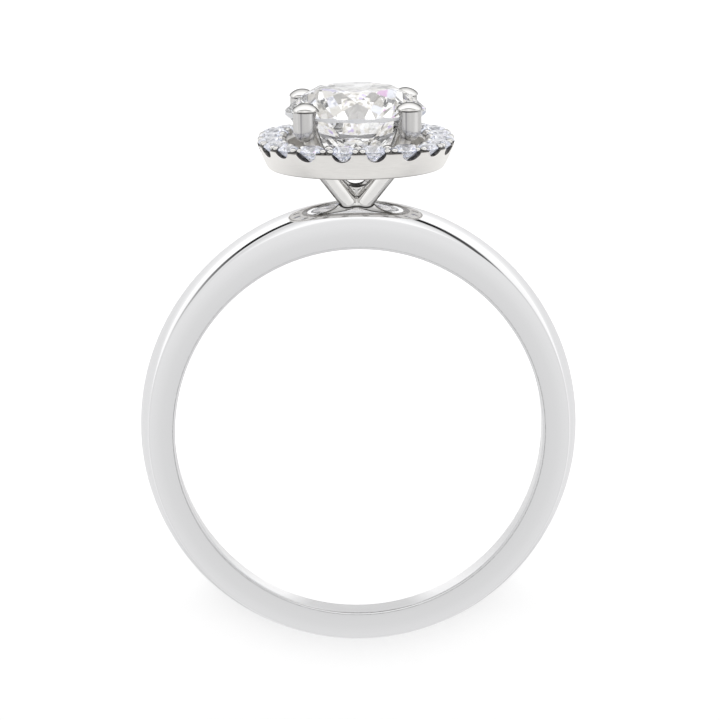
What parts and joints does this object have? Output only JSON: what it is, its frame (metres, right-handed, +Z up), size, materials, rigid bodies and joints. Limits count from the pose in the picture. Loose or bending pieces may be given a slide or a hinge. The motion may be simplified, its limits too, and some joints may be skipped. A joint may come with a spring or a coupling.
{
  "type": "halo ring",
  "caption": "Slim D-section ring, lying on its side, with a pronged head that holds a round brilliant inside a soft cushion-shaped halo of small brilliants.",
  "frame": {"origin": "centre of the finger hole, halfway across the width of the band", "axes": "+Y level, from the finger hole's centre towards the head; +Z up from the surface that the ring lies on; +X across the ring"},
  "size_m": [0.0202, 0.0258, 0.009],
  "materials": {
    "white_gold": "polished",
    "diamond": "faceted, clear"
  },
  "bodies": {
    "root": {"band_and_head": "white_gold", "center_stone": "diamond", "halo_stone_01": "diamond", "halo_stone_02": "diamond", "halo_stone_03": "diamond", "halo_stone_04": "diamond", "halo_stone_05": "diamond", "halo_stone_06": "diamond", "halo_stone_07": "diamond", "halo_stone_08": "diamond", "halo_stone_09": "diamond", "halo_stone_10": "diamond", "halo_stone_11": "diamond", "halo_stone_12": "diamond", "halo_stone_13": "diamond", "halo_stone_14": "diamond", "halo_stone_15": "diamond", "halo_stone_16": "diamond", "halo_stone_17": "diamond", "halo_stone_18": "diamond", "halo_stone_19": "diamond", "halo_stone_20": "diamond"}
  },
  "joints": []
}
